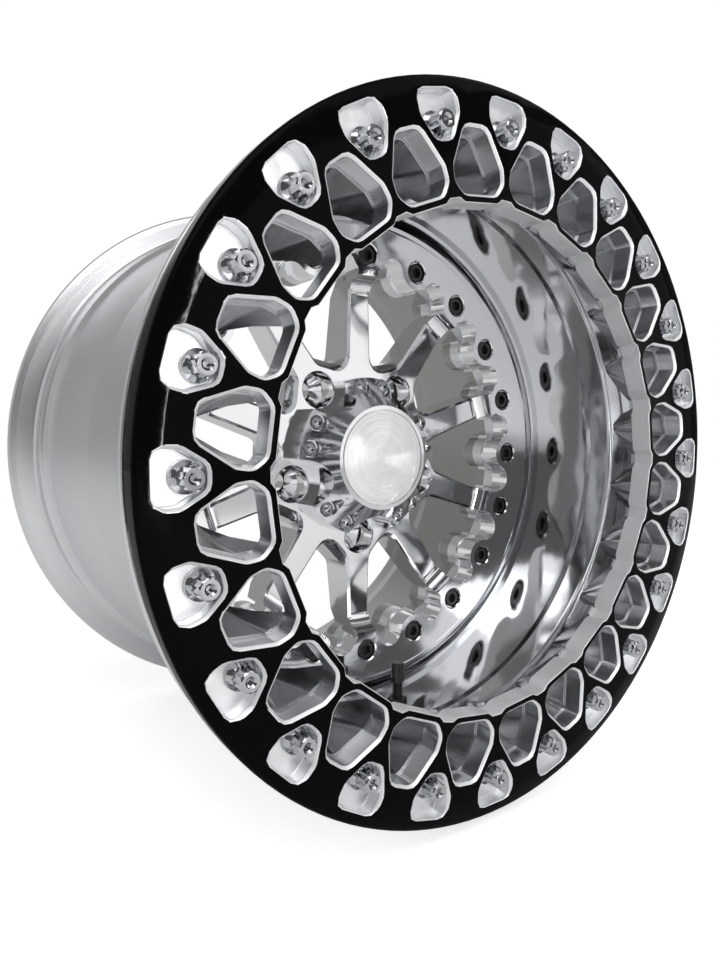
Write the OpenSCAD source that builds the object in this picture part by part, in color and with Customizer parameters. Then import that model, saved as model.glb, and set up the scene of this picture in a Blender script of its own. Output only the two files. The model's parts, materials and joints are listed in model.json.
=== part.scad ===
/* [Wheel] */
// Diameter of the seats that the tyre's beads sit on
bead_d = 457.2; // [430:0.1:520]
// From the hub face forward to the face that the beadlock ring is bolted to
front_len = 197; // [170:1:230]
// From the hub face back to the rear edge of the inner barrel
back_len = 158.4; // [130:0.1:200]
// Wall of both barrels
wall = 7.5; // [5:0.1:9]

/* [Beadlock ring] */
// Number of clamping bolts, and of windows between them
ring_count = 24; // [20:1:24]
// Thickness of the ring
ring_t = 16; // [13:0.5:20]
// How far the ring reaches out past the bead seat
ring_rise = 16.4; // [12:0.1:22]
// How far the clamping bolts stand inside the bead seat
ring_bolt_inset = 11.8; // [11:0.1:14]
// Radial height of a window
window_h = 40.2; // [34:0.1:44]
// Widest part of a window
window_w = 40; // [34:0.5:42]
// Width of a window at its outer end
window_outer_w = 18; // [12:0.5:24]
// Width of a window at its inner end
window_inner_w = 27; // [20:0.5:30]
// Metal between the windows and the inner edge
window_web = 5.7; // [4:0.1:8]
// Depth of the notches cut in the inner edge
notch_depth = 3.5; // [2:0.1:4]
// Depth of a bolt pocket
pocket_depth = 11; // [8:0.5:13]
// Width of a bolt pocket at its outer end
pocket_w = 30; // [27:0.5:32]
// Width of a bolt pocket at its inner end
pocket_inner_w = 12; // [10:0.5:16]
// Radial height of a bolt pocket
pocket_h = 28.7; // [27:0.1:30]
// Width of the bright bevel on the ring's cut edges
bevel = 1.8; // [0.8:0.1:2.2]

/* [Beadlock bolts] */
// Diameter of the bolt shank
clamp_d = 9.5; // [8:0.5:10]
// Height of a bolt head above its washer
clamp_head_h = 14.4; // [10:0.1:16]
// Diameter of the head across its points
clamp_head_d = 13; // [12:0.1:14]
// Diameter of the flange under the head
clamp_flange_d = 17.6; // [15:0.1:18]
// Length of thread in the barrel
clamp_grip = 17; // [12:0.5:18]
// Wall of a threaded insert
insert_wall = 2; // [1.2:0.1:2.5]

/* [Barrels] */
// Gap between the ring and the flange behind it, for the tyre's bead
bead_gap = 16; // [14:0.5:20]
// Thickness of the flange behind the bead gap
lip_flange_t = 5.5; // [4:0.5:8]
// Depth of the flared pockets behind the windows
flare_len = 47; // [40:0.5:55]
// How far the well of the barrels lies inside the bead seat
well_drop = 16.6; // [14:0.1:20]
// Thickness of each barrel's bolting flange
bolting_t = 12; // [8:0.5:14]
// How far the rear flange rises above the bead seat
rear_rise = 22; // [17:0.5:24]
// Length of the rear bead seat
seat_len = 20; // [18:0.5:24]
// Height of the hump that keeps the rear bead on its seat
hump_h = 1.6; // [0.8:0.1:2.4]
// Diameter of the seal's section
seal_d = 3.6; // [2.6:0.1:4.2]

/* [Centre] */
// Height of the centre's front face over the hub face
hub_t = 43; // [38:1:48]
// Thickness of the centre's outer flange
rim_t = 20; // [17:0.5:24]
// Height of the outer flange's front face over the hub face
rim_face = 56.3; // [52:0.1:62]
// Number of bolts round the outer flange
rim_count = 20; // [20:10:20]
// How far the flange's bolts stand inside the barrel wall
rim_bolt_inset = 34.1; // [32:0.1:36]
// Radius of the lobe round each flange bolt
lobe_r = 15.5; // [14:0.1:16.5]
// Number of spokes
spoke_count = 10; // [10:10:10]
// Width of a spoke where it would meet the axis
spoke_root_w = 29; // [24:0.5:32]
// Width of a spoke at the outer flange
spoke_tip_w = 19; // [16:0.5:24]
// Diameter of the hub face
hub_d = 164; // [156:1:176]
// Diameter of the centre bore
bore_d = 87.1; // [66:0.1:88]

/* [Lug holes] */
// Circle that the lug holes lie on
lug_pcd = 139.7; // [135:0.1:145]
// Number of lug holes
lug_count = 5; // [5:5:5]
// Diameter of the stud hole
stud_hole_d = 15.5; // [13:0.1:17]
// Diameter of the pocket that takes the socket and the nut
lug_pocket_d = 29.5; // [27:0.1:32]
// Depth of the pocket down to the cone seat
lug_pocket_depth = 18; // [12:0.5:22]

/* [Bolts and nuts] */
// Diameter of the assembly bolts
joint_d = 10; // [8:0.5:11]
// Diameter of their socket heads
joint_head_d = 16; // [14:0.1:16.5]
// Height of their socket heads
joint_head_h = 10; // [8:0.1:11]
// Diameter of the counterbore that takes a head
joint_cbore_d = 18.5; // [17:0.1:20]
// Size of the assembly nuts across flats
nut_af = 16; // [15:0.5:18]
// Height of the assembly nuts
nut_h = 9.5; // [8:0.1:11]
// Thickness of the washers
washer_t = 2; // [1.2:0.1:2.6]

/* [Centre cap] */
// Height of the cap over the centre's front face
cap_h = 36.5; // [34:0.5:42]
// Diameter of the cap's flat top
cap_top_d = 88; // [86:0.5:92]
// Diameter of the cap across its feet
cap_foot_d = 135; // [132:0.5:138]
// Height at which the cap's slope meets the feet's outer edge
cap_foot_h = 14; // [10:0.5:16]
// Radius of the cut that clears each lug hole
cap_lug_cut = 21; // [19:0.1:22]
// Width of the cap's rim round the inset disc
cap_rim_w = 4.5; // [4:0.1:8]
// Thickness of the inset disc
disc_t = 2.5; // [2:0.1:3.5]
// Circle that the cap's screws lie on
cap_screw_pcd = 122; // [120:0.5:124]
// Distance between the two screws of a foot
cap_screw_pair = 22; // [20:0.5:23]
// Diameter of the cap's screws
cap_screw_d = 6; // [5:0.5:6]
// Diameter of their button heads
cap_head_d = 12.6; // [11:0.1:13]

/* [Valve] */
// Distance of the valve in front of the hub face
valve_at = 100; // [90:1:110]
// Length of the stem inside the barrel
valve_len = 33; // [28:0.5:38]
// Diameter of the stem
valve_d = 8.2; // [7:0.1:8.6]
// Diameter of the hole in the barrel
valve_hole_d = 11.5; // [10.6:0.1:12.5]
// Length of the dust cap
dust_cap_len = 16; // [13:0.5:18]

/* [Hidden] */
$fn = 64;
ring_fn = 192;
arc_steps = 4;
// Amount that a cutter runs past the face it cuts
past = 1;
// How far a bevel's cutter starts inside the wall that it bevels
bevel_in = 0.5;
// Clearance of a bolt in its hole, all round
bolt_gap = 0.3;
// Clearance between parts that are pushed together
seat_gap = 0.3;

// Radii of the beadlock end, counted in from the bead seat
bead_r = bead_d / 2;
ring_r = bead_r + ring_rise;
ring_top = front_len + ring_t;
clamp_r = bead_r - ring_bolt_inset;
window_out = clamp_r - 1.9;
window_in = window_out - window_h;
ring_bore = window_in - window_web;
pocket_floor = ring_top - pocket_depth;
washer_r = clamp_flange_d / 2 + 0.2;
pocket_in = clamp_r - washer_r - 0.2;
pocket_out = pocket_in + pocket_h;
pitch = 360 / ring_count;

// Radii of the barrels
well_r = bead_r - well_drop;
lip_r = well_r - wall;
flare_r = lip_r + 1.5;
flare_start = ring_bore + 1.2;
flare_land = 1.5;

// Scallops behind the windows: their length, and where they end on the lip's wall
scallop_len = flare_len * 0.87;
scallop_end = lip_r - 3.1;
scallop_lead = 20;
rim_back = rim_face - rim_t;
joint_r = lip_r - rim_bolt_inset - 0.5;
front_bolting = rim_back - bolting_t;
back_bolting = front_bolting - bolting_t;
lip_flange_r = ring_r - 2;
rear_r = bead_r + rear_rise;
seal_r = lip_r - 9;

// The flange's lobes and the valleys that run into them
lobe_angle = 360 / rim_count / 2;
valley_at = joint_r - 9.9;
valley_r = norm([joint_r - valley_at * cos(lobe_angle), valley_at * sin(lobe_angle)]) - lobe_r;
lobe_end = atan2(valley_at * sin(lobe_angle), joint_r - valley_at * cos(lobe_angle));
valley_end = atan2(joint_r * sin(lobe_angle), joint_r * cos(lobe_angle) - valley_at);

// The barrels' bolting flanges have lobes that show round the centre's, and flat slots between
bolting_lobe_r = lobe_r + 1.4;
bolting_in = joint_r - 8;
slot_out = joint_r + 2;
slot_w = 16;
// Where the flanges' turned blanks start, inside their lobes
bolting_start = joint_r - bolting_lobe_r - 3;

// Bolt and washer details
insert_r = clamp_d / 2 + insert_wall;
clamp_flange_t = 3;
joint_tail = 2;

// Centre
lug_r = lug_pcd / 2;
seat_cone = (lug_pocket_d - stud_hole_d) / 2 / tan(30);
spoke_step = 360 / spoke_count;
bore_r = bore_d / 2;
spoke_end = joint_r - 18.4;
ramp_start = spoke_end - 13.5;
ramp_r = 16;
ledge_h = 10;
ledge_w = 6.5;
// Where the openings start, on the side of a spoke without and with a lug hole
plain_toe = 78;
lug_toe = 96;
toe_corner = 9;
edge_w = 2;

// Cap
cap_top = hub_t + cap_h;
cap_r = cap_foot_d / 2;
cap_wall = 4;
screw_r = cap_screw_pcd / 2;
screw_angle = asin(cap_screw_pair / 2 / screw_r);
disc_d = cap_top_d - 2 * cap_rim_w;
cap_seat = hub_t + cap_foot_h + (cap_r - screw_r) * (cap_h - cap_foot_h) / (cap_r - cap_top_d / 2) - 2.6;
cap_head_h = 4.6;
screw_grip = 12;
disc_gap = 0.9;

// Valve, measured along its own axis from the barrel's outside towards the wheel's axis
valve_angle = 270;
valve_inside = lip_r + 0.4;
valve_outside = well_r - 0.3;
valve_flange_t = 2.5;
grommet_t = 2;
grommet_r = valve_hole_d / 2 + 3.2;
valve_nut_h = 6;
valve_nut_af = 14;
valve_tip = lip_r - valve_len;
core_r = 2.5;
core_len = 14;
pin_r = 0.7;
run_gap = 0.06;
cap_gap = 0.08;
dust_r = valve_d / 2 + 1.3;
dust_end = 3.6;

// Geometry helpers

function unit(v) = v / norm(v);
function turned(v, a) = [v.x * cos(a) - v.y * sin(a), v.x * sin(a) + v.y * cos(a)];
function wrap(pts, i) = pts[(i + len(pts)) % len(pts)];
function normal(a, b) = [unit(b - a).y, -unit(b - a).x];

// Vertex b of an anticlockwise outline, moved so that both its sides shift out by d
function shifted(a, b, c, d) =
    let (m = normal(a, b), n = normal(b, c))
    b + d * (m + n) / (1 + m * n);

// Outline with every side moved out by d
function grown(pts, d) =
    [for (i = [0:len(pts) - 1]) shifted(wrap(pts, i - 1), pts[i], wrap(pts, i + 1), d)];

// Arc of radius r that rounds the corner at b
function corner(a, b, c, r, steps) =
    let (u = unit(a - b), w = unit(c - b), half = acos(u * w) / 2)
    let (centre = b + unit(u + w) * r / sin(half), start = b + u * r / tan(half) - centre)
    let (sweep = (180 - 2 * half) * sign(cross(b - a, c - b)))
    [for (i = [0:steps]) centre + turned(start, sweep * i / steps)];

// Outline with each corner rounded by its own radius, 0 leaves it sharp
function rounded(pts, radii, steps = arc_steps) =
    [for (i = [0:len(pts) - 1]) each radii[i] == 0 ? [pts[i]] :
        corner(wrap(pts, i - 1), pts[i], wrap(pts, i + 1), radii[i], steps)];

// Inward side of a lobe round a bolt at angle a, from one angle to another about the bolt
function lobe_arc(r, a, from, to, steps) =
    [for (i = [0:steps]) let (t = from + (to - from) * i / steps)
        turned([joint_r - r * cos(t), r * sin(t)], a)];

// Solid through a row of outlines with the same number of points, each at its own height
module loft(outlines, heights) {
    n = len(outlines[0]);
    top = len(outlines) - 1;
    polyhedron(
        points = [for (k = [0:top], p = outlines[k]) [p.x, p.y, heights[k]]],
        faces = concat(
            [[for (i = [0:n - 1]) i]],
            [[for (i = [0:n - 1]) (top + 1) * n - 1 - i]],
            [for (k = [0:top - 1], i = [0:n - 1]) let (a = k * n + i, b = k * n + (i + 1) % n) each [
                [a, a + n, b + n],
                [a, b + n, b]]]));
}

// Turns the working frame, in which the wheel's axis is up, so that the front faces -Y
module on_axis() {
    rotate([90, 0, 0]) children();
}

// Copies round the wheel's axis, on a circle of radius r
module around(count, r = 0, start = 0) {
    for (i = [0:count - 1]) rotate(start + i * 360 / count) translate([r, 0, 0]) children();
}

module turned_solid(points) {
    rotate_extrude($fn = ring_fn) polygon(points);
}

// Solid turned about the axis of a hole or a bolt
module lathe(points) {
    rotate_extrude() polygon(points);
}

module bar(r, low, high) {
    translate([0, 0, low]) cylinder(r = r, h = high - low);
}

module taper(r_low, r_high, low, high) {
    translate([0, 0, low]) cylinder(r1 = r_low, r2 = r_high, h = high - low);
}

module hexagon(af, low, high) {
    translate([0, 0, low]) cylinder(d = af / cos(30), h = high - low, $fn = 6);
}

// Beadlock ring

function window_points(d) = grown([
    [window_in, -window_inner_w / 2],
    [window_in + window_h * 0.18, -window_w / 2],
    [window_in + window_h * 0.41, -window_w / 2],
    [window_out, -window_outer_w / 2],
    [window_out, window_outer_w / 2],
    [window_in + window_h * 0.41, window_w / 2],
    [window_in + window_h * 0.18, window_w / 2],
    [window_in, window_inner_w / 2]], d);

function window_outline(d) =
    let (r = 6 + d) rounded(window_points(d), [r, r, r, r, r, r, r, r], 2);

function pocket_outline(d) =
    let (r = 5.5 + d, middle = (pocket_in + pocket_out) / 2)
    rounded(grown([
        [pocket_in, -pocket_inner_w / 2],
        [middle, -pocket_w / 2 + 0.5],
        [pocket_out, -pocket_w / 2],
        [pocket_out, pocket_w / 2],
        [middle, pocket_w / 2 - 0.5],
        [pocket_in, pocket_inner_w / 2]], d), [r, r, r, r, r, r], 2);

function bore_outline(d) =
    let (flat = ring_bore, deep = ring_bore + notch_depth, mouth = asin(8 / flat), floor_a = asin(4 / deep))
    grown([for (i = [0:ring_count - 1], s = [-1, 1]) each
        let (a = i * pitch, m = flat / cos(pitch / 2 - mouth))
        s < 0 ? [turned([m, 0], a - mouth), turned([deep, 0], a - floor_a)]
              : [turned([deep, 0], a + floor_a), turned([m, 0], a + mouth)]], d);

// Straight cut down to low, with a bevel that crosses its walls at the front face
module bevelled_cut(wall, inside, outside, low) {
    translate([0, 0, low]) linear_extrude(ring_top + past - low) polygon(wall);
    loft([inside, outside], [ring_top - bevel - bevel_in, ring_top + past]);
}

module beadlock_ring() {
    on_axis() color("black") difference() {
        turned_solid(rounded([
            [ring_bore - 5, front_len],
            [ring_r, front_len],
            [ring_r, ring_top - 2.4],
            [bead_r + 1, ring_top],
            [ring_bore - 5, ring_top]], [0, 1, 3.5, 20, 0]));
        translate([0, 0, front_len - past]) linear_extrude(ring_t + 2 * past) polygon(bore_outline(0));
        around(ring_count, 0, pitch / 2)
            bevelled_cut(window_outline(0), window_outline(-bevel_in), window_outline(bevel + past),
                front_len - past);
        around(ring_count)
            bevelled_cut(pocket_outline(0), pocket_outline(-bevel_in), pocket_outline(bevel + past),
                pocket_floor);
        around(ring_count, clamp_r) bar(clamp_d / 2 + bolt_gap, front_len - past, pocket_floor + past);
    }
}

module clamp_bolt() {
    seat = pocket_floor + washer_t;
    top = seat + clamp_head_h;
    difference() {
        union() {
            bar(clamp_d / 2, front_len - clamp_grip, seat + past);
            bar(clamp_flange_d / 2, seat, seat + clamp_flange_t / 2);
            taper(clamp_flange_d / 2, clamp_head_d / 2 - 0.4,
                seat + clamp_flange_t / 2, seat + clamp_flange_t + 1);
            intersection() {
                union() for (a = [0, 30]) rotate(a) hexagon(clamp_head_d * cos(30), seat, top);
                union() {
                    bar(clamp_head_d / 2, seat, top - 1.2);
                    taper(clamp_head_d / 2, clamp_head_d / 2 - 1.2, top - 1.2, top);
                }
            }
        }
        taper(2, 3.4, top - 1.4, top + 0.01);
        bar(2, top - 4, top - 1);
    }
}

module beadlock_bolts() {
    on_axis() color("lightgray") around(ring_count, clamp_r) clamp_bolt();
}

module beadlock_washers() {
    on_axis() color("silver") around(ring_count, clamp_r) difference() {
        bar(washer_r, pocket_floor, pocket_floor + washer_t);
        bar(clamp_d / 2 + bolt_gap, pocket_floor - past, pocket_floor + washer_t + past);
    }
}

module beadlock_inserts() {
    on_axis() color("gray") around(ring_count, clamp_r) difference() {
        bar(insert_r, front_len - clamp_grip - 1, front_len);
        bar(clamp_d / 2, front_len - clamp_grip - 2, front_len + past);
    }
}

// Barrels

// Inner edge of a bolting flange
function bolting_outline() =
    let (meet = acos((joint_r * joint_r + bolting_lobe_r * bolting_lobe_r - bolting_in * bolting_in)
        / (2 * joint_r * bolting_lobe_r)))
    [for (i = [0:rim_count - 1]) each concat(
        lobe_arc(bolting_lobe_r, 2 * i * lobe_angle, -meet, meet, 10),
        [for (p = [[bolting_in, -1], [slot_out, -1], [slot_out, 1], [bolting_in, 1]])
            turned([p.x, p.y * slot_w / 2], (2 * i + 1) * lobe_angle)])];

module bolting_cut(low, high) {
    translate([0, 0, low - past]) linear_extrude(high - low + 2 * past) polygon(bolting_outline());
    around(rim_count, joint_r) bar(joint_d / 2 + bolt_gap, low - past, high + past);
}

// Outline of a scallop: open towards the axis, narrowing outwards from side_w at side_r to out_w at out_r
function scallop_outline(side_r, side_w, side_corner, out_r, out_w, out_corner) =
    rounded([
        [ring_bore - scallop_lead, -side_w / 2],
        [side_r, -side_w / 2],
        [out_r, -out_w / 2],
        [out_r, out_w / 2],
        [side_r, side_w / 2],
        [ring_bore - scallop_lead, side_w / 2]], [0, side_corner, out_corner, out_corner, side_corner, 0], 2);

// Scallop milled through the flare behind a window. It is as wide as the window there, and runs back
// to a point on the lip's wall
module scallop() {
    loft([
        scallop_outline(scallop_end - 1.4, 5, 1.5, scallop_end, 2, 0.7),
        scallop_outline(scallop_end - 5.5, window_w * 0.65, 8, scallop_end + 6, window_outer_w * 0.55, 4),
        scallop_outline(window_out - 24, window_w - 2, 12, window_out - 1, window_outer_w - 2, 5)],
        [front_len - scallop_len, front_len - scallop_len / 2, front_len + past]);
}

module outer_barrel() {
    gap_floor = front_len - bead_gap;
    flange_back = gap_floor - lip_flange_t;
    on_axis() color("gainsboro") difference() {
        turned_solid(rounded([
            [bolting_start, front_bolting],
            [well_r, front_bolting],
            [well_r, flange_back - 14],
            [well_r + 8, flange_back - 5],
            [lip_flange_r, flange_back],
            [lip_flange_r, gap_floor],
            [bead_r, gap_floor],
            [bead_r, front_len],
            [flare_start, front_len],
            [flare_start, front_len - flare_land],
            [flare_r, front_len - flare_len],
            [flare_r, front_len - flare_len - 22],
            [lip_r, front_len - flare_len - 26],
            [lip_r, rim_back],
            [bolting_start, rim_back]],
            [0, 0, 12, 6, 1.5, 1.5, 1, 1, 0, 0, 14, 2, 2, 0, 0]));
        bolting_cut(front_bolting, rim_back);
        around(ring_count, 0, pitch / 2) scallop();
        around(ring_count, clamp_r) bar(insert_r, front_len - clamp_grip - 3, front_len + past);
        rotate_extrude($fn = ring_fn) translate([seal_r - seal_d / 2, front_bolting - past])
            square([seal_d, seal_d + past]);
        on_valve() {
            bar(valve_hole_d / 2, lip_r - 10, well_r + 10);
            bar(valve_nut_af / 2 + 3, lip_r - 10, valve_inside);
            bar(grommet_r + 1, valve_outside, well_r + 10);
        }
    }
}

module inner_barrel() {
    seat_end = -back_len + 14;
    hump = seat_end + seat_len;
    well_in = well_r - wall;
    on_axis() color("gainsboro") difference() {
        turned_solid(rounded([
            [bolting_start, front_bolting],
            [well_r, front_bolting],
            [well_r + 1, -14],
            [bead_r - 5, hump + 14],
            [bead_r - 2, hump + 8],
            [bead_r + hump_h, hump + 5],
            [bead_r + hump_h, hump + 1],
            [bead_r, hump - 2],
            [bead_r, seat_end],
            [rear_r - 6, seat_end - 4],
            [rear_r, seat_end - 6],
            [rear_r, -back_len + 1],
            [rear_r - 6, -back_len],
            [bead_r - wall + 1, seat_end - 1],
            [bead_r - wall - 2, hump],
            [bead_r - wall - 6, hump + 14],
            [well_in + 1, -14],
            [lip_r, back_bolting],
            [bolting_start, back_bolting]],
            [0, 0, 30, 8, 2, 1.5, 1.5, 2, 6, 5, 3, 3, 3, 10, 20, 20, 30, 0, 0]));
        bolting_cut(back_bolting, front_bolting);
    }
}

module barrel_seal() {
    on_axis() color("dimgray") rotate_extrude($fn = ring_fn)
        translate([seal_r, front_bolting + seal_d / 2]) circle(d = seal_d, $fn = 32);
}

// Wheel centre

function spoke_half(s) = (spoke_root_w + (spoke_tip_w - spoke_root_w) * s / joint_r) / 2;

// Point beside a spoke that stands half a step to one side of the opening
function beside(side, s, inset) =
    let (a = side * spoke_step / 2, h = spoke_half(s) - inset)
    turned([s, -side * h], a);

// Valley between two lobes, without the ends that it shares with them
function valley_arc(a, steps = 12) =
    [for (i = [1:steps - 1]) let (t = valley_end * (2 * i / steps - 1))
        turned([valley_at + valley_r * cos(t), valley_r * sin(t)], a)];

// Opening between a spoke with a lug hole, on side 1, and one without. It ends outwards in the flange's
// lobes and valleys
function opening_outline() =
    let (meet = asin(spoke_half(joint_r - lobe_r) / lobe_r))
    let (outer = concat(
        lobe_arc(lobe_r, -spoke_step / 2, meet, lobe_end, 3),
        valley_arc(-lobe_angle),
        lobe_arc(lobe_r, 0, -lobe_end, lobe_end, 10),
        valley_arc(lobe_angle),
        lobe_arc(lobe_r, spoke_step / 2, -lobe_end, -meet, 3)))
    rounded(concat([beside(-1, plain_toe, 0)], outer, [beside(1, lug_toe, 0)]),
        concat([toe_corner], [for (p = outer) 0], [toe_corner]));

// The same opening's hub end, moved in by toe and with its sides moved out by inset
function hub_end(toe, inset) =
    rounded([
        beside(-1, plain_toe - toe, inset),
        beside(-1, ramp_start + 5, inset),
        beside(1, ramp_start + 5, inset),
        beside(1, lug_toe - toe, inset)], [toe_corner + toe / 2, 0, 0, toe_corner + toe / 2]);

module opening_cut() {
    translate([0, 0, -past]) linear_extrude(rim_face + 2 * past) polygon(opening_outline());
    loft([
        hub_end(-bevel_in, -bevel_in),
        hub_end(ledge_w, -bevel_in),
        hub_end(ledge_w + edge_w + past, edge_w + past)],
        [hub_t - ledge_h, hub_t - edge_w - bevel_in, hub_t + past]);
}

// Hub, spokes and flange in one
module centre_blank() {
    turned_solid([
        [bore_r, 0],
        [hub_d / 2 - 1, 0],
        [hub_d / 2, 1],
        [hub_d / 2, 5],
        [spoke_end - 12, 12],
        [spoke_end, 20],
        [spoke_end, rim_back],
        [lip_r - seat_gap, rim_back],
        [lip_r - seat_gap, rim_face - 9.3],
        [lip_r - 3.2, rim_face - 5.8],
        [lip_r - 4.5, rim_face - 3.5],
        [lip_r - 8, rim_face - 3.5],
        [lip_r - 11.5, rim_face],
        [spoke_end + 1.5, rim_face],
        for (a = [55:-11:0]) [ramp_start + ramp_r * sin(a), hub_t + ramp_r * (1 - cos(a))],
        [bore_r, hub_t]]);
}

module lug_hole() {
    cone_top = hub_t - lug_pocket_depth;
    lathe([
        [0, -past],
        [stud_hole_d / 2, -past],
        [stud_hole_d / 2, cone_top - seat_cone],
        [lug_pocket_d / 2, cone_top],
        [lug_pocket_d / 2, hub_t - 1],
        [lug_pocket_d / 2 + 1 + past, hub_t + past],
        [0, hub_t + past]]);
}

module joint_hole() {
    floor_z = rim_face - joint_head_h - 1;
    lathe([
        [0, rim_back - past],
        [joint_d / 2 + bolt_gap, rim_back - past],
        [joint_d / 2 + bolt_gap, floor_z],
        [joint_cbore_d / 2, floor_z],
        [joint_cbore_d / 2, rim_face - 1],
        [joint_cbore_d / 2 + 1 + past, rim_face + past],
        [0, rim_face + past]]);
}

// First spoke with a lug hole, counted from the X axis
first_lug = 54;

module wheel_centre() {
    on_axis() color("silver") difference() {
        centre_blank();
        around(lug_count, 0, first_lug - spoke_step / 2) opening_cut();
        around(lug_count, 0, first_lug + spoke_step / 2) mirror([0, 1, 0]) opening_cut();
        around(lug_count, lug_r, first_lug) lug_hole();
        around(rim_count, joint_r) joint_hole();
        on_cap_screws() bar(cap_screw_d / 2, hub_t - screw_grip - 1, hub_t + past);
        taper(bore_r + 1.5, bore_r - 0.5, -0.01, 2);
    }
}

// Bolts that join the centre and the two barrels

module joint_bolt() {
    seat = rim_face - joint_head_h - 1;
    top = seat + joint_head_h;
    difference() {
        union() {
            bar(joint_d / 2, back_bolting - washer_t - nut_h - joint_tail, seat + past);
            bar(joint_head_d / 2, seat, top - 1);
            taper(joint_head_d / 2, joint_head_d / 2 - 1, top - 1, top);
        }
        hexagon(8, top - 5, top + past);
    }
}

module assembly_bolts() {
    on_axis() color("black") around(rim_count, joint_r) joint_bolt();
}

module assembly_washers() {
    on_axis() color("silver") around(rim_count, joint_r) difference() {
        bar(joint_d, back_bolting - washer_t, back_bolting);
        bar(joint_d / 2 + bolt_gap, back_bolting - washer_t - past, back_bolting + past);
    }
}

module assembly_nuts() {
    seat = back_bolting - washer_t;
    on_axis() color("silver") around(rim_count, joint_r) difference() {
        intersection() {
            hexagon(nut_af, seat - nut_h, seat);
            union() {
                bar(nut_af / 2 / cos(30), seat - nut_h + 1, seat);
                taper(nut_af / 2, nut_af / 2 / cos(30), seat - nut_h, seat - nut_h + 1);
            }
        }
        bar(joint_d / 2, seat - nut_h - past, seat + past);
    }
}

// Centre cap

module on_cap_screws() {
    for (side = [-1, 1]) around(lug_count, screw_r, first_lug + spoke_step + side * screw_angle) children();
}

module centre_cap() {
    slope = atan((cap_h - cap_foot_h) / (cap_r - cap_top_d / 2));
    on_axis() color("whitesmoke") difference() {
        turned_solid([
            [bore_r - 3, hub_t],
            [cap_r, hub_t],
            [cap_r, hub_t + cap_foot_h],
            [cap_top_d / 2, cap_top - 0.6],
            [cap_top_d / 2 - 0.6, cap_top],
            [disc_d / 2 + disc_gap, cap_top],
            [disc_d / 2 + disc_gap, cap_top - disc_t],
            [0, cap_top - disc_t],
            [0, cap_top - disc_t - cap_wall],
            [bore_r - 8, cap_top - disc_t - cap_wall],
            [bore_r - 3, cap_top - disc_t - cap_wall - 5]]);
        around(lug_count, lug_r, first_lug) bar(cap_lug_cut, hub_t - past, cap_top + past);
        on_cap_screws() {
            bar(cap_screw_d / 2 + bolt_gap, hub_t - past, cap_top);
            bar(cap_head_d / 2 + 0.7, cap_seat, cap_top);
            translate([0, 0, cap_seat + 4]) rotate([0, slope - 72, 0])
                cylinder(r = cap_head_d / 2 - 0.6, h = 40);
        }
    }
}

module cap_disc() {
    on_axis() color("lightgray") turned_solid([
        [0, cap_top - disc_t],
        [disc_d / 2, cap_top - disc_t],
        [disc_d / 2, cap_top - 0.3],
        [disc_d / 2 - 0.3, cap_top],
        [0, cap_top]]);
}

module cap_screw() {
    dome_r = (cap_head_d * cap_head_d / 4 + cap_head_h * cap_head_h) / (2 * cap_head_h);
    top = cap_seat + cap_head_h;
    difference() {
        union() {
            bar(cap_screw_d / 2, hub_t - screw_grip, cap_seat + past);
            intersection() {
                translate([0, 0, top - dome_r]) sphere(r = dome_r);
                bar(cap_head_d / 2, cap_seat, top);
            }
        }
        hexagon(4, top - 2.6, top + past);
    }
}

module cap_screws() {
    on_axis() color("lightgray") on_cap_screws() cap_screw();
}

// Valve: its own axis runs out from the wheel's axis

module on_valve() {
    rotate(valve_angle) translate([0, 0, valve_at]) rotate([0, 90, 0]) children();
}

module valve_stem() {
    on_axis() color("black") on_valve() difference() {
        union() {
            bar(valve_d / 2, valve_tip, valve_outside + grommet_t + past);
            bar(valve_d / 2 + 4, valve_outside + grommet_t, valve_outside + grommet_t + valve_flange_t);
        }
        bar(core_r, valve_tip - past, valve_tip + core_len + 1);
        bar(1.6, valve_tip, valve_outside + grommet_t + valve_flange_t + past);
    }
}

module valve_grommet() {
    on_axis() color("black") on_valve() difference() {
        union() {
            bar(grommet_r, valve_outside, valve_outside + grommet_t);
            bar(valve_hole_d / 2, valve_inside, valve_outside + past);
        }
        bar(valve_d / 2, valve_inside - past, valve_outside + grommet_t + past);
    }
}

module valve_washer() {
    on_axis() color("dimgray") on_valve() difference() {
        bar(valve_nut_af / 2 + 2, valve_inside - 1.2, valve_inside);
        bar(valve_d / 2, valve_inside - 1.2 - past, valve_inside + past);
    }
}

module valve_nut() {
    seat = valve_inside - 1.2;
    on_axis() color("black") on_valve() difference() {
        hexagon(valve_nut_af, seat - valve_nut_h, seat);
        bar(valve_d / 2, seat - valve_nut_h - past, seat + past);
    }
}

module valve_core() {
    on_axis() color("goldenrod") on_valve() difference() {
        bar(core_r, valve_tip + 0.5, valve_tip + core_len);
        bar(pin_r + run_gap, valve_tip, valve_tip + core_len + past);
    }
}

module valve_pin() {
    on_axis() color("goldenrod") on_valve() {
        bar(pin_r, valve_tip + 0.3, valve_tip + core_len + 1.3);
        bar(1.3, valve_tip + core_len + 0.1, valve_tip + core_len + 2.1);
    }
}

module valve_cap() {
    on_axis() color("black") on_valve() difference() {
        union() {
            bar(dust_r, valve_tip - dust_end + 1, valve_tip - dust_end + dust_cap_len);
            taper(dust_r - 1, dust_r, valve_tip - dust_end, valve_tip - dust_end + 1);
        }
        bar(valve_d / 2 + cap_gap, valve_tip - 0.2, valve_tip + dust_cap_len);
        bar(core_r - 0.4, valve_tip - 1.6, valve_tip);
        for (i = [0:11]) rotate(i * 30) translate([dust_r + 0.35, 0, valve_tip - dust_end - past])
            cylinder(r = 0.8, h = dust_cap_len - 3, $fn = 24);
    }
}

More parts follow.
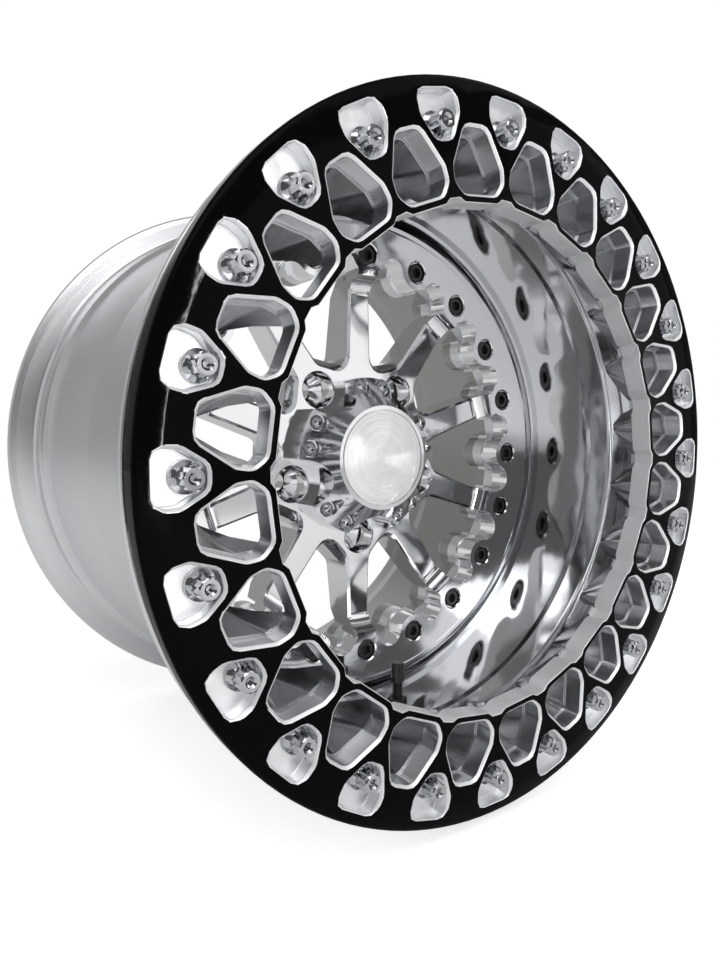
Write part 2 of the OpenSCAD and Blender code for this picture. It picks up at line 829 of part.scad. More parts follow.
beadlock_ring();
beadlock_bolts();
beadlock_washers();
beadlock_inserts();
outer_barrel();
inner_barrel();
barrel_seal();
wheel_centre();
assembly_bolts();
assembly_washers();
assembly_nuts();
centre_cap();
cap_disc();
cap_screws();
valve_stem();
valve_grommet();
valve_washer();
valve_nut();
valve_core();
valve_pin();
valve_cap();
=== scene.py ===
"""Beadlock wheel: finishes, edge details, threads and stage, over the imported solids."""
import json
import math

import bpy
from mathutils import Matrix, Vector

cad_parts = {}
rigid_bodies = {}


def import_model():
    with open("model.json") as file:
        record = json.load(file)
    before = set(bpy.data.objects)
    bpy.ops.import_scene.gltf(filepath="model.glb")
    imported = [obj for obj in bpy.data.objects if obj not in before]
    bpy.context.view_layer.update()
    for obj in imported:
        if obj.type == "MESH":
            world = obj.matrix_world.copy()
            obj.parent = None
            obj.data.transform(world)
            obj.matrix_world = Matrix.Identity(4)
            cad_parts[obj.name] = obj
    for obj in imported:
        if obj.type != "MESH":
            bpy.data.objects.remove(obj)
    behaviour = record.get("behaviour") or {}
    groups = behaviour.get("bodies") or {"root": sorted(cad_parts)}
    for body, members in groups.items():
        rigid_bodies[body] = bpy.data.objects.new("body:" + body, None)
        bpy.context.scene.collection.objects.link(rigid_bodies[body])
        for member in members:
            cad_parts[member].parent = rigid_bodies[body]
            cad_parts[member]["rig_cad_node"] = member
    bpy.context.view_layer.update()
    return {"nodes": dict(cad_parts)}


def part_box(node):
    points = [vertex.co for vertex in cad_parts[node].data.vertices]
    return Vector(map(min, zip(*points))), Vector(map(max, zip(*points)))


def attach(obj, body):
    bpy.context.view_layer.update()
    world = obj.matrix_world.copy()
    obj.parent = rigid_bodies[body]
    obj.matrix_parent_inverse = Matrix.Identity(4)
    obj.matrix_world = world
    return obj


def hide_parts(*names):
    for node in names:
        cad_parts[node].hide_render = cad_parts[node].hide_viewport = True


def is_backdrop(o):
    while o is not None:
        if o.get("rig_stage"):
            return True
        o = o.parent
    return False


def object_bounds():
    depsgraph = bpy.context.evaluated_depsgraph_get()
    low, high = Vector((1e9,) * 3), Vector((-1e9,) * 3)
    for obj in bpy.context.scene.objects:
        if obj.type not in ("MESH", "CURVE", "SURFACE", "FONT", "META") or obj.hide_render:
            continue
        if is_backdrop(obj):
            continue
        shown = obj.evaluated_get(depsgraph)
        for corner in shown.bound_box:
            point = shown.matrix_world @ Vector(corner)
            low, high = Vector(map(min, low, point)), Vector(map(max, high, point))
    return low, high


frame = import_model()

bl_info = {
    "name": "Beadlock Wheel",
    "version": (1, 0, 0),
    "blender": (4, 5, 0),
    "location": "3D View > Sidebar > Wheel",
    "description": "Dresses the solids of a beadlock wheel in polished, turned and coated metal",
    "category": "Add Mesh",
}

WHEEL = "wheel"
FRONT = -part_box("beadlock_ring")[0].y
RING_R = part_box("beadlock_ring")[1].x
BORE_R = min(math.hypot(v.co.x, v.co.z) for v in frame["nodes"]["beadlock_ring"].data.vertices)

# Where the ring's finishes meet, in metres behind its front or in from its edges

FACE_DEPTH = 0.004
POCKET_DEPTH = 0.009
BORE_BAND = 0.004
RIM_BAND = 0.018

# Where the outer barrel's finishes meet, in metres

FLARE_TIP_Y = -0.1955
FLARE_TIP_R = 0.1702
FLARE_ROOT_Y = -0.15
FLARE_ROOT_R = 0.206
SCALLOP_DEPTH = 0.0006
SCALLOP_R = 0.216
POLISH_BACK_Y = -0.0565
POLISH_R = 0.2075

# How far a face's normal points along the axis, away from it or towards it, where 1 is all the way

FLAT = 0.97
BEVEL = 0.25
OUTWARD = 0.05
INWARD = 0.5

# The valve stem's place along the wheel's axis and the pitch of its thread, in metres

VALVE_Y = -0.1
THREAD_PITCH = 0.0008

# The photograph's camera: picture and lens in pixels, turns in degrees, place in metres

PICTURE_HEIGHT = 960
FOCAL_LENGTH = 689.87
CAMERA_PAN = -34.42
CAMERA_TILT = -4.39
CAMERA_ROLL = -0.16
CAMERA_PLACE = (-0.3403, -0.5412, 0.0255)

# The room that metal mirrors, as bounds of x / y and z / y, with the brightness of its parts

WINDOW_CENTRE = 0.85
WINDOW_HALF_WIDTH = 0.78
WINDOW_HALF_HEIGHT = 0.5
WINDOW_EDGE = (0.94, 1.06)
RAIL = (-0.19, -0.13)
POST = (0.78, 0.81)
BAR_SHADE = 0.8
OPEN_EDGE = (-0.12, 0.05)
OPEN_FADE = (0.45, 0.8)
STRIP_WIDTH = (-1.15, -0.8)
STRIP_HEIGHT = (-0.05, 0.9)
STRIP_LIGHT = 0.45
BAND_HEIGHT = (-0.45, -0.1)
BAND_SHADE = 0.55

# Bounds of the skylight's height, and of y where the room's front passes into its back

SKYLIGHT = (0.64, 0.88)
LEAST_Y = 0.001
FRONT_BACK_FADE = (0.01, 0.02)
WALL_FADE = (-0.1, 0.1)

# The floor's gap under the wheel in metres, and the share of its glow that metal mirrors

FLOOR_GAP = 0.0005
FLOOR_IN_METAL = 0.1


# Selecting and shaping

def only(piece):
    """Makes a piece the one selected object."""
    if bpy.context.object and bpy.context.object.mode != "OBJECT":
        bpy.ops.object.mode_set(mode="OBJECT")
    bpy.ops.object.select_all(action="DESELECT")
    piece.select_set(True)
    bpy.context.view_layer.objects.active = piece
    return piece


def radius(point):
    """Distance from the wheel's axis."""
    return math.hypot(point.x, point.z)


def outward(place, normal):
    """How far a face's normal points away from the wheel's axis, times the face's distance from it."""
    return normal.x * place.x + normal.z * place.z


def flatten_flats(piece):
    """Turns the shading of rounded corners towards the larger faces, so that flats look flat."""
    only(piece)
    bpy.ops.object.modifier_add(type="WEIGHTED_NORMAL")
    flat = piece.modifiers[-1]
    flat.weight = 100
    flat.keep_sharp = True
    bpy.ops.object.modifier_apply(modifier=flat.name)
    return piece


def take(node, name, body=WHEEL, angle=32):
    """A merged, smoothly shaded copy of a solid, which is shown in its place."""
    only(frame["nodes"][node])
    bpy.ops.object.duplicate()
    piece = bpy.context.active_object
    piece.name = piece.data.name = name
    del piece["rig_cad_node"]
    bpy.ops.object.mode_set(mode="EDIT")
    bpy.ops.mesh.select_all(action="SELECT")
    bpy.ops.mesh.remove_doubles(threshold=0.00001)
    bpy.ops.mesh.dissolve_limited(angle_limit=math.radians(0.4))
    bpy.ops.object.mode_set(mode="OBJECT")
    if piece.data.has_custom_normals:
        bpy.ops.mesh.customdata_custom_splitnormals_clear()
    bpy.ops.object.shade_smooth_by_angle(angle=math.radians(angle))
    flatten_flats(piece)
    piece.data.materials.clear()
    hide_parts(node)
    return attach(piece, body)


def paint(piece, finish, test=None):
    """Gives a finish to the faces whose centre and normal pass a test, or to all of them."""
    only(piece)
    piece.data.materials.append(finish)
    if test is None:
        return piece
    for face in piece.data.polygons:
        if test(face.center, face.normal):
            face.material_index = len(piece.data.materials) - 1
    return piece


def coat(node, finish):
    """Gives a solid that stays as it is a finish."""
    solid = frame["nodes"][node]
    solid.data.materials.clear()
    solid.data.materials.append(finish)


def ease_edges(piece, width, segments=2, angle=40):
    """Rounds the sharp edges by a small width and keeps the flats flat."""
    only(piece)
    bpy.ops.object.modifier_add(type="BEVEL")
    bevel = piece.modifiers[-1]
    bevel.width = width
    bevel.segments = segments
    bevel.limit_method = "ANGLE"
    bevel.angle_limit = math.radians(angle)
    bevel.use_clamp_overlap = True
    bevel.harden_normals = True
    bpy.ops.object.modifier_apply(modifier=bevel.name)
    return piece


# Shader maths

class Signal:
    """A socket that takes part in arithmetic: each step adds a Math node."""

    def __init__(self, finish, socket):
        self.finish = finish
        self.socket = socket

    def math(self, operation, *others):
        """This signal and others through one Math node."""
        return self.finish.node("ShaderNodeMath", {"operation": operation},
                                **{str(i): v for i, v in enumerate((self, *others))})

    def __add__(self, other):
        return self.math("ADD", other)

    def __sub__(self, other):
        return self.math("SUBTRACT", other)

    def __mul__(self, other):
        return self.math("MULTIPLY", other)

    def __truediv__(self, other):
        return self.math("DIVIDE", other)

    def __rsub__(self, other):
        return self.finish.value(other).math("SUBTRACT", self)

    __radd__ = __add__
    __rmul__ = __mul__


class NodeWork:
    """A node tree in the making."""

    def __init__(self, tree, shader, place):
        self.tree = tree
        self.shader = tree.nodes[shader]
        self.place = self.node("ShaderNodeTexCoord", output=place)

    def set(self, **sockets):
        """Sets or links sockets of the shader."""
        for name, value in sockets.items():
            self._put(self.shader.inputs[name], value)
        return self

    def _put(self, socket, value):
        if isinstance(value, Signal):
            self.tree.links.new(value.socket, socket)
        else:
            socket.default_value = value

    def node(self, kind, settings=None, output=0, **inputs):
        """Adds a node, sets its settings and then its sockets, and gives one of its outputs."""
        node = self.tree.nodes.new(kind)
        for name, value in (settings or {}).items():
            if name == "stops":
                ramp = node.color_ramp
                for i, (at, grey) in enumerate(value):
                    stop = ramp.elements[i] if i < 2 else ramp.elements.new(at)
                    stop.position = at
                    stop.color = (grey, grey, grey, 1.0)
            else:
                setattr(node, name, value)
        for name, value in inputs.items():
            self._put(node.inputs[int(name) if name.isdigit() else name], value)
        return Signal(self, node.outputs[output])

    def value(self, number):
        """A plain number as a signal."""
        return self.node("ShaderNodeMath", {"operation": "ADD"}, **{"0": number, "1": 0.0})

    def parts(self, vector=None):
        """The three coordinates of a vector."""
        split = self.node("ShaderNodeSeparateXYZ", None, 0, Vector=vector or self.place)
        outputs = split.socket.node.outputs
        return [Signal(self, outputs[i]) for i in range(3)]

    def rays(self, *kinds):
        """1 for the kinds of rays named, 0 for the others."""
        path = self.node("ShaderNodeLightPath").socket.node
        total = Signal(self, path.outputs[kinds[0]])
        for kind in kinds[1:]:
            total = total.math("MAXIMUM", Signal(self, path.outputs[kind]))
        return total

    def step(self, signal, low, high):
        """0 below low and 1 above high, smooth between."""
        return self.node("ShaderNodeMapRange", {"interpolation_type": "SMOOTHSTEP"}, 0,
                         **{"Value": signal, "From Min": low, "From Max": high})

    def between(self, signal, low, high, soft=0.02):
        """1 between two values and 0 outside them, with soft edges."""
        return self.step(signal, low - soft, low + soft) * (1 - self.step(signal, high - soft, high + soft))

    def stretched(self, x, y, z):
        """Object coordinates scaled on each axis."""
        return self.node("ShaderNodeMapping", None, 0, Vector=self.place, Scale=(x, y, z))

    def noise(self, scale, detail=2.0, vector=None, roughness=0.5):
        """Cloudy noise from 0 to 1."""
        return self.node("ShaderNodeTexNoise", None, "Fac", Vector=vector or self.place, Scale=scale,
                         Detail=detail, Roughness=roughness)

    def rings(self, along, scale, detail=2.0):
        """Noise that changes along one length only, as a lathe's rings do."""
        return self.node("ShaderNodeTexNoise", {"noise_dimensions": "1D"}, "Fac", W=along, Scale=scale,
                         Detail=detail)

    def from_axis(self):
        """Distance from the wheel's axis."""
        x, _, z = self.parts()
        return (x * x + z * z).math("SQRT")

    def ramp(self, signal, *stops):
        """A signal turned into greys, by stops of place and grey."""
        return self.node("ShaderNodeValToRGB", {"stops": stops}, 0, Fac=signal)

    def mix(self, factor, low, high):
        """Colour between two."""
        node = self.tree.nodes.new("ShaderNodeMix")
        node.data_type = "RGBA"
        self._put(node.inputs[0], factor)
        for socket, value in ((node.inputs[6], low), (node.inputs[7], high)):
            self._put(socket, value if isinstance(value, Signal) else (*value, 1.0))
        return Signal(self, node.outputs[2])

    def bump(self, height, distance):
        """Raises the surface by a signal, at a real depth in metres."""
        normal = self.node("ShaderNodeBump", None, 0, Height=height, Distance=distance, Strength=1.0)
        return self.set(Normal=normal)


class Finish(NodeWork):
    """A material in the making."""

    def __init__(self, colour, metallic=0.0, roughness=0.4, **uniform):
        self.material = bpy.data.materials.new("finish")
        self.material.use_nodes = True
        super().__init__(self.material.node_tree, "Principled BSDF", "Object")
        self.set(**{"Base Color": (*colour, 1.0), "Metallic": metallic, "Roughness": roughness}, **uniform)


def black_coat(look):
    """Gloss black coat with a faint orange peel."""
    f = Finish(look.coat, roughness=0.05, **{"Specular IOR Level": 0.03})
    peel = f.noise(260.0, 1.0)
    dust = f.noise(900.0, 3.0)
    f.set(Roughness=f.ramp(dust, (0.35, 0.04), (0.8, 0.11)))
    return f.bump(peel, 0.00002).material


def cut_aluminium(look):
    """Aluminium straight from the end mill: fine lines along the tool's axis."""
    f = Finish(look.aluminium, 1.0, 0.2)
    lines = f.noise(300.0, 2.0, f.stretched(1.0, 0.03, 1.0))
    cloud = f.noise(30.0, 2.0)
    f.set(Roughness=0.13 + lines * 0.1 + cloud * 0.08)
    return f.bump(lines, 0.00003).material


def bright_cut(look):
    """Bevels and the notched bore of the ring: bare metal off a fine cutter, which scatters the light."""
    f = Finish(look.polish, 0.6, 0.4)
    lines = f.noise(700.0, 2.0, f.stretched(1.0, 0.03, 1.0))
    f.set(Roughness=0.36 + lines * 0.14)
    return f.bump(lines, 0.00003).material


def scallop_cut(look):
    """Scallops of the flare, with the lines that the ball mill leaves along its way, in a darker colour that
    is painted shade in the grooves.
    """
    f = Finish(look.scallop, 1.0, 0.2)
    lines = f.noise(420.0, 2.0, f.stretched(1.0, 0.03, 1.0))
    f.set(Roughness=0.12 + lines * 0.16)
    return f.bump(lines, 0.00006).material


def flare_polish(look):
    """The flare's polish: a mirror with slow waves; its colour, darker than the centre's, is painted shade.
    """
    f = Finish(look.flare, 1.0, 0.08)
    waves = f.noise(24.0, 1.0)
    haze = f.noise(60.0, 4.0, roughness=0.6)
    f.set(Roughness=0.03 + haze * 0.1)
    return f.bump(waves, 0.0005).material


def pocket_floor(look):
    """Floor of a bolt pocket: a bright face mill's finish that takes light from all round."""
    f = Finish(look.polish, 1.0, 0.4)
    cloud = f.noise(90.0, 3.0)
    f.set(Roughness=0.3 + cloud * 0.25)
    return f.bump(cloud, 0.0004).material


def polished_aluminium(look):
    """Mirror-polished aluminium, with the slow waves and the haze that hand polishing leaves."""
    f = Finish(look.polish, 1.0, 0.06)
    waves = f.noise(28.0, 1.0)
    haze = f.noise(70.0, 4.0, roughness=0.6)
    f.set(Roughness=0.03 + haze * 0.09)
    return f.bump(waves, 0.0004).material


def turned_aluminium(look):
    """Aluminium from the lathe: fine rings round the wheel's axis under a light polish."""
    f = Finish(look.aluminium, 1.0, 0.25)
    _, y, _ = f.parts()
    along = y + f.from_axis() * 0.7
    fine = f.rings(along, 2600.0)
    broad = f.rings(along, 240.0, 3.0)
    smear = f.noise(9.0, 4.0, f.stretched(1.0, 2.5, 1.0))
    f.set(Roughness=0.16 + fine * 0.12 + broad * 0.1 + smear * 0.1)
    return f.bump(fine + broad, 0.00004).material


def raw_aluminium(look):
    """Inside of the inner barrel, as the lathe left it: dull, with the tool's rings; its dark colour is
    painted shade inside the barrel.
    """
    f = Finish(look.raw, 1.0, 0.4)
    _, y, _ = f.parts()
    fine = f.rings(y, 1400.0)
    cloud = f.noise(14.0, 3.0)
    f.set(Roughness=0.28 + fine * 0.12 + cloud * 0.1)
    return f.bump(fine, 0.00005).material


def ringed_disc(look):
    """Disc brushed in fine rings round its own centre."""
    f = Finish(look.polish, 1.0, 0.18)
    fine = f.rings(f.from_axis(), 5200.0)
    f.set(Roughness=0.12 + fine * 0.14)
    return f.bump(fine, 0.0001).material


def bright_plate(look):
    """Polished plating on the bolts and screws."""
    f = Finish(look.plate, 1.0, 0.06)
    cloud = f.noise(600.0, 2.0)
    f.set(Roughness=0.04 + cloud * 0.08)
    return f.bump(cloud, 0.00001).material


def plain_steel(look):
    """Unplated steel of the nuts, washers and inserts, with a light grain."""
    f = Finish(look.steel, 1.0, 0.3)
    cloud = f.noise(500.0, 3.0)
    f.set(Roughness=0.24 + cloud * 0.2)
    return f.bump(cloud, 0.00002).material


def black_oxide(look):
    """Black socket screws: a thin dark skin over steel, a little worn."""
    f = Finish(look.oxide, 0.0, 0.3, **{"Specular IOR Level": 0.6})
    cloud = f.noise(700.0, 3.0)
    f.set(Roughness=0.2 + cloud * 0.25)
    return f.bump(cloud, 0.00003).material


def threaded_oxide(look):
    """Black valve stem with its fine thread, which runs round the stem's upright axis."""
    f = Finish(look.oxide, 0.0, 0.35, **{"Specular IOR Level": 0.6})
    x, y, z = f.parts()
    turn = x.math("ARCTAN2", y - VALVE_Y) / math.tau
    thread = ((z / THREAD_PITCH + turn) * math.tau).math("SINE")
    f.set(Roughness=0.3 + f.noise(700.0, 3.0) * 0.2)
    return f.bump(thread, 0.0003).material


def black_rubber(look):
    """Matt black rubber of the seal and the valve's grommet."""
    f = Finish(look.oxide, 0.0, 0.6)
    grain = f.noise(1500.0, 2.0)
    f.set(Roughness=0.5 + grain * 0.3)
    return f.bump(grain, 0.00004).material


def plain_brass(look):
    """Brass of the valve's core and pin."""
    f = Finish(look.brass, 1.0, 0.3)
    cloud = f.noise(900.0, 2.0)
    f.set(Roughness=0.22 + cloud * 0.2)
    return f.bump(cloud, 0.00001).material


# Settings

def shade(name, description, default):
    """A colour among the settings."""
    return bpy.props.FloatVectorProperty(name=name, description=description, default=default,
                                         subtype="COLOR", size=3, min=0.0, max=1.0)


class WheelLook(bpy.types.PropertyGroup):
    """Colours of the wheel's finishes"""

    coat: shade("Ring coat", "Colour of the ring's gloss coat", (0.002, 0.002, 0.0025))
    aluminium: shade("Cut aluminium", "Colour of turned and milled aluminium", (0.80, 0.81, 0.83))
    polish: shade("Polished aluminium", "Colour of mirror-polished aluminium", (0.87, 0.875, 0.89))
    # Darker than the polish colour: painted shade on the flare
    flare: shade("Flare", "Colour of the flare's polish", (0.70, 0.71, 0.73))
    # Darkened colour: painted shade in the scallops
    scallop: shade("Scallops", "Colour of the flare's scallops", (0.50, 0.505, 0.52))
    # Dark colour: painted shade inside the inner barrel, over a real dull finish
    raw: shade("Raw aluminium", "Colour of the inner barrel's inside", (0.42, 0.42, 0.41))
    plate: shade("Plating", "Colour of the bright bolts and screws", (0.55, 0.56, 0.58))
    steel: shade("Steel", "Colour of plain steel nuts and washers", (0.52, 0.52, 0.53))
    oxide: shade("Black oxide", "Colour of the black screws, rubber and valve", (0.012, 0.012, 0.013))
    brass: shade("Brass", "Colour of the valve's core", (0.72, 0.55, 0.27))


class WheelSizes(bpy.types.PropertyGroup):
    """Sizes of the details that the solids leave out"""

    ring_ease: bpy.props.FloatProperty(
        name="Ring edge", description="Width of the bare rounding on the ring's edges", default=0.0005,
        min=0.0, unit="LENGTH")
    bolt_ease: bpy.props.FloatProperty(
        name="Bolt edge", description="Width of the rounding on the bolts' edges", default=0.0002,
        min=0.0, unit="LENGTH")
    part_ease: bpy.props.FloatProperty(
        name="Part edge", description="Width of the rounding on the edges of barrel, centre and cap",
        default=0.0006, min=0.0, unit="LENGTH")


class StageSettings(bpy.types.PropertyGroup):
    """Light and floor"""

    floor_size: bpy.props.FloatProperty(
        name="Floor size", description="Length of the floor's side", default=9.0, min=1.0, unit="LENGTH")
    key: bpy.props.FloatProperty(
        name="Key light", description="Power of the large lamp over the wheel", default=11.0, min=0.0)
    fill: bpy.props.FloatProperty(
        name="Fill light", description="Power of the lamps at the sides", default=3.0, min=0.0)
    sky: bpy.props.FloatProperty(
        name="Room light", description="Strength of the light from all round", default=0.5, min=0.0)
    dark: bpy.props.FloatProperty(
        name="Dark room", description="Brightness of the room behind the camera, as metal mirrors it",
        default=0.11, min=0.0, max=1.0)
    grey: bpy.props.FloatProperty(
        name="Grey wall", description="Brightness of the wall behind the wheel, as metal mirrors it",
        default=0.3, min=0.0, max=1.0)
    lift: bpy.props.FloatProperty(
        name="Floor white", description="What brings the lit floor up to white", default=0.62, min=0.0)
    tube: bpy.props.FloatProperty(
        name="Tube light", description="Power of the thin tube in front of the wheel", default=16.0, min=0.0)


class WheelOperator:
    """What the wheel's operators share."""

    bl_options = {"REGISTER", "UNDO"}

    @property
    def look(self):
        return bpy.context.scene.wheel_look

    @property
    def sizes(self):
        return bpy.context.scene.wheel_sizes

    def finish(self, maker):
        """A finish by its maker, made once."""
        name = maker.__name__ + "_finish"
        made = bpy.data.materials.get(name)
        if made is None:
            made = maker(self.look)
            made.name = name
        return made


# Operators

class WHEEL_OT_ring(WheelOperator, bpy.types.Operator):
    """Beadlock ring: gloss black faces, bare metal where it is cut"""

    bl_idname = "wheel.ring"
    bl_label = "Beadlock Ring"

    def execute(self, context):
        ring = take("beadlock_ring", "ring_body")
        ease_edges(ring, self.sizes.ring_ease)
        paint(ring, self.finish(cut_aluminium))
        paint(ring, self.finish(bright_cut),
              lambda c, n: -FLAT < n.y < -BEVEL or radius(c) < BORE_R + BORE_BAND)
        paint(ring, self.finish(pocket_floor), lambda c, n: n.y < -FLAT and c.y > POCKET_DEPTH - FRONT)
        paint(ring, self.finish(black_coat), lambda c, n: (n.y < -FLAT and c.y < FACE_DEPTH - FRONT)
              or (radius(c) > RING_R - RIM_BAND and outward(c, n) > OUTWARD * radius(c)))
        return {"FINISHED"}


class WHEEL_OT_ring_bolts(WheelOperator, bpy.types.Operator):
    """Clamping bolts round the ring, with their washers and inserts"""

    bl_idname = "wheel.ring_bolts"
    bl_label = "Clamping Bolts"

    def execute(self, context):
        bolts = take("beadlock_bolts", "clamping_bolts")
        ease_edges(bolts, self.sizes.bolt_ease)
        paint(bolts, self.finish(bright_plate))
        for node in ("beadlock_washers", "beadlock_inserts"):
            coat(node, self.finish(plain_steel))
        return {"FINISHED"}


def flare_radius(y):
    """Radius of the polished flare between its tip behind the ring and its wider root."""
    along = (FLARE_TIP_Y - min(y, FLARE_ROOT_Y)) / (FLARE_TIP_Y - FLARE_ROOT_Y)
    return FLARE_TIP_R + along * (FLARE_ROOT_R - FLARE_TIP_R)


class WHEEL_OT_barrels(WheelOperator, bpy.types.Operator):
    """Both barrels: turned outside, polished inside"""

    bl_idname = "wheel.barrels"
    bl_label = "Barrels"

    def execute(self, context):
        outer = take("outer_barrel", "outer_barrel_shell", angle=30)
        ease_edges(outer, self.sizes.part_ease)
        paint(outer, self.finish(turned_aluminium))
        # The flare's darker polish colour is painted shade
        paint(outer, self.finish(flare_polish), lambda c, n: radius(c) < POLISH_R and c.y < POLISH_BACK_Y)
        # The scallops' dark colour is painted shade in the grooves
        paint(outer, self.finish(scallop_cut), lambda c, n: c.y < FLARE_ROOT_Y
              and flare_radius(c.y) + SCALLOP_DEPTH < radius(c) < SCALLOP_R)
        inner = take("inner_barrel", "inner_barrel_shell", angle=30)
        paint(inner, self.finish(turned_aluminium))
        # The inside's dark colour is painted shade; its dullness is the real lathe finish
        paint(inner, self.finish(raw_aluminium), lambda c, n: outward(c, n) < -INWARD * radius(c))
        coat("barrel_seal", self.finish(black_rubber))
        return {"FINISHED"}


class WHEEL_OT_centre(WheelOperator, bpy.types.Operator):
    """Polished centre with the bolts that hold it between the barrels"""

    bl_idname = "wheel.centre"
    bl_label = "Wheel Centre"

    def execute(self, context):
        centre = take("wheel_centre", "spoked_centre", angle=28)
        ease_edges(centre, self.sizes.part_ease, angle=32)
        paint(centre, self.finish(polished_aluminium))
        coat("assembly_bolts", self.finish(black_oxide))
        for node in ("assembly_washers", "assembly_nuts"):
            coat(node, self.finish(plain_steel))
        return {"FINISHED"}


class WHEEL_OT_cap(WheelOperator, bpy.types.Operator):
    """Centre cap, its bare brushed disc and its screws"""

    bl_idname = "wheel.cap"
    bl_label = "Centre Cap"

    def execute(self, context):
        cap = ease_edges(take("centre_cap", "cap_body"), self.sizes.part_ease)
        paint(cap, self.finish(polished_aluminium))
        disc = take("cap_disc", "cap_plate")
        paint(disc, self.finish(ringed_disc))
        screws = take("cap_screws", "button_screws")
        paint(screws, self.finish(bright_plate))
        return {"FINISHED"}


class WHEEL_OT_valve(WheelOperator, bpy.types.Operator):
    """Valve: stem, nut, washer, grommet, core, pin and dust cap"""

    bl_idname = "wheel.valve"
    bl_label = "Valve"

    def execute(self, context):
        coat("valve_stem", self.finish(threaded_oxide))
        for node in ("valve_nut", "valve_cap"):
            coat(node, self.finish(black_oxide))
        coat("valve_washer", self.finish(plain_steel))
        coat("valve_grommet", self.finish(black_rubber))
        for node in ("valve_core", "valve_pin"):
            coat(node, self.finish(plain_brass))
        return {"FINISHED"}


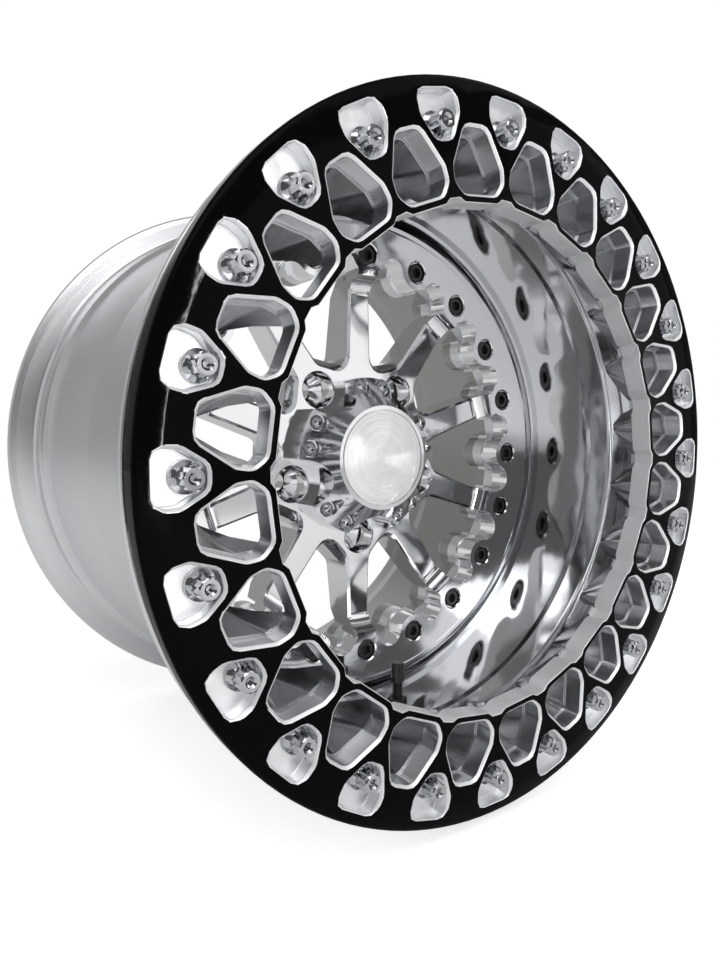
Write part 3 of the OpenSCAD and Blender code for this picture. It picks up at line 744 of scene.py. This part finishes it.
class WHEEL_OT_stage(WheelOperator, bpy.types.Operator):
    """White floor and room, soft lamps and the camera"""

    bl_idname = "wheel.stage"
    bl_label = "Stage"

    def execute(self, context):
        stage = context.scene.wheel_stage
        self.floor(stage)
        self.room(stage)
        self.lamp("key_lamp", place=(-0.6, -1.2, 1.9), size=(1.6, 1.6), power=stage.key)
        self.lamp("left_lamp", place=(-2.2, 0.1, 0.5), size=(1.0, 2.0), power=stage.fill)
        self.lamp("right_lamp", place=(2.0, -1.4, 0.6), size=(1.0, 2.0), power=stage.fill)
        self.lamp("tube_lamp", place=(-0.115, -2.0, 0.31), size=(0.02, 1.2), power=stage.tube, lean=15)
        self.camera()
        return {"FINISHED"}

    def floor(self, stage):
        """A white floor just under the wheel, which glows to the camera and only faintly in metal."""
        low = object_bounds()[0].z
        bpy.ops.mesh.primitive_plane_add(size=stage.floor_size, location=(0, 0, low - FLOOR_GAP))
        floor = bpy.context.active_object
        floor.name = "studio_floor"
        f = Finish((0.8, 0.8, 0.8), roughness=0.9, **{"Specular IOR Level": 0.0})
        f.material.name = "white_floor"
        seen = f.rays("Is Camera Ray", "Is Transmission Ray") + f.rays("Is Glossy Ray") * FLOOR_IN_METAL
        glow = f.mix(seen, (0.0, 0.0, 0.0), (1.0, 1.0, 1.0))
        f.set(**{"Emission Color": glow, "Emission Strength": stage.lift})
        floor.data.materials.append(f.material)
        floor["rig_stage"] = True

    def room(self, stage):
        """White to the camera and even light to dull surfaces, while metal mirrors the room's own walls."""
        world = bpy.data.worlds.new("white_room")
        bpy.context.scene.world = world
        world.use_nodes = True
        room = NodeWork(world.node_tree, "Background", "Generated")
        x, y, z = room.parts()
        ahead, behind = (0 - y).math("MAXIMUM", LEAST_Y), y.math("MAXIMUM", LEAST_Y)
        front = self.window(room, x / ahead, z / ahead) + room.between(z, *SKYLIGHT)
        front = front * room.step(ahead, *FRONT_BACK_FADE)
        back = self.open_side(room, x / behind, z / behind) * room.step(behind, *FRONT_BACK_FADE)
        light = (front + back).math("MINIMUM", 1.0)
        grey = self.back_wall(room, stage.grey, x / behind, z / behind)
        wall = stage.dark + room.step(y, *WALL_FADE) * (grey - stage.dark)
        shiny = room.rays("Is Glossy Ray")
        seen = room.rays("Is Camera Ray", "Is Transmission Ray")
        room.set(Color=(1.0, 1.0, 1.0, 1.0),
                 Strength=seen + shiny * (wall + light * (1 - wall)) + (1 - seen) * (1 - shiny) * stage.sky)

    def window(self, room, across, up):
        """An oval window in front of the wheel, crossed by a rail and a post."""
        wide = (across - WINDOW_CENTRE) / WINDOW_HALF_WIDTH
        high = up / WINDOW_HALF_HEIGHT
        pane = 1 - room.step(wide * wide + high * high, *WINDOW_EDGE)
        bars = room.between(up, *RAIL) + room.between(across, *POST)
        return pane * (1 - bars.math("MINIMUM", 1.0) * BAR_SHADE)

    def open_side(self, room, across, up):
        """The open side of the room behind the wheel, which fades high up and low down."""
        return room.step(across, *OPEN_EDGE) * (1 - room.step(up.math("ABSOLUTE"), *OPEN_FADE))

    def back_wall(self, room, grey, across, up):
        """The grey wall behind the wheel, with a darker band low down and a lighter strip at one side."""
        strip = room.between(across, *STRIP_WIDTH, soft=0.08) * room.between(up, *STRIP_HEIGHT, soft=0.1)
        band = room.between(up, *BAND_HEIGHT, soft=0.08) * BAND_SHADE
        return grey * (1 - band) + strip * STRIP_LIGHT

    def lamp(self, name, place, size, power, lean=0):
        """A rectangular lamp that faces the wheel, leaned in its own plane by some degrees."""
        data = bpy.data.lights.new(name, "AREA")
        data.shape = "RECTANGLE"
        data.size, data.size_y = size
        data.energy = power
        lamp = bpy.data.objects.new(name, data)
        bpy.context.scene.collection.objects.link(lamp)
        facing = Vector(place).to_track_quat("Z", "Y").to_matrix().to_4x4()
        leaning = Matrix.Rotation(math.radians(-lean), 4, "Z")
        lamp.matrix_world = Matrix.Translation(place) @ facing @ leaning
        lamp.visible_camera = False

    def camera(self):
        """The photograph's own place, turn and lens."""
        data = bpy.data.cameras.new("camera")
        data.sensor_fit = "AUTO"
        data.sensor_width = 36.0
        data.lens = data.sensor_width * FOCAL_LENGTH / PICTURE_HEIGHT
        data.clip_start = 0.01
        camera = bpy.data.objects.new("camera", data)
        bpy.context.scene.collection.objects.link(camera)
        turn = (Matrix.Rotation(math.radians(CAMERA_PAN), 3, "Z")
                @ Matrix.Rotation(math.radians(CAMERA_TILT), 3, "X")
                @ Matrix.Rotation(math.radians(CAMERA_ROLL), 3, "Y"))
        right, ahead, up = turn.col[0], turn.col[1], turn.col[2]
        axes = Matrix((right, up, -ahead)).transposed().to_4x4()
        camera.matrix_world = Matrix.Translation(CAMERA_PLACE) @ axes
        bpy.context.scene.camera = camera
        bpy.context.scene.view_settings.view_transform = "Standard"


class WHEEL_PT_panel(bpy.types.Panel):
    """Lists the wheel's pieces and settings"""

    bl_idname = "WHEEL_PT_panel"
    bl_label = "Beadlock Wheel"
    bl_space_type = "VIEW_3D"
    bl_region_type = "UI"
    bl_category = "Wheel"

    def draw(self, context):
        scene = context.scene
        for group in (scene.wheel_look, scene.wheel_sizes, scene.wheel_stage):
            for name in group.__annotations__:
                self.layout.prop(group, name)
        for maker in MAKERS:
            self.layout.operator(maker.bl_idname)


GROUPS = {"wheel_look": WheelLook, "wheel_sizes": WheelSizes, "wheel_stage": StageSettings}
MAKERS = (WHEEL_OT_ring, WHEEL_OT_ring_bolts, WHEEL_OT_barrels, WHEEL_OT_centre, WHEEL_OT_cap,
          WHEEL_OT_valve, WHEEL_OT_stage)


def register():
    for cls in (*GROUPS.values(), *MAKERS, WHEEL_PT_panel):
        bpy.utils.register_class(cls)
    for name, group in GROUPS.items():
        setattr(bpy.types.Scene, name, bpy.props.PointerProperty(type=group))


def unregister():
    for name in GROUPS:
        delattr(bpy.types.Scene, name)
    for cls in (WHEEL_PT_panel, *reversed(MAKERS), *GROUPS.values()):
        bpy.utils.unregister_class(cls)


def main():
    """Makes every piece and the stage."""
    register()
    bpy.ops.wheel.ring()
    bpy.ops.wheel.ring_bolts()
    bpy.ops.wheel.barrels()
    bpy.ops.wheel.centre()
    bpy.ops.wheel.cap()
    bpy.ops.wheel.valve()
    bpy.ops.wheel.stage()


if __name__ == "__main__":
    main()
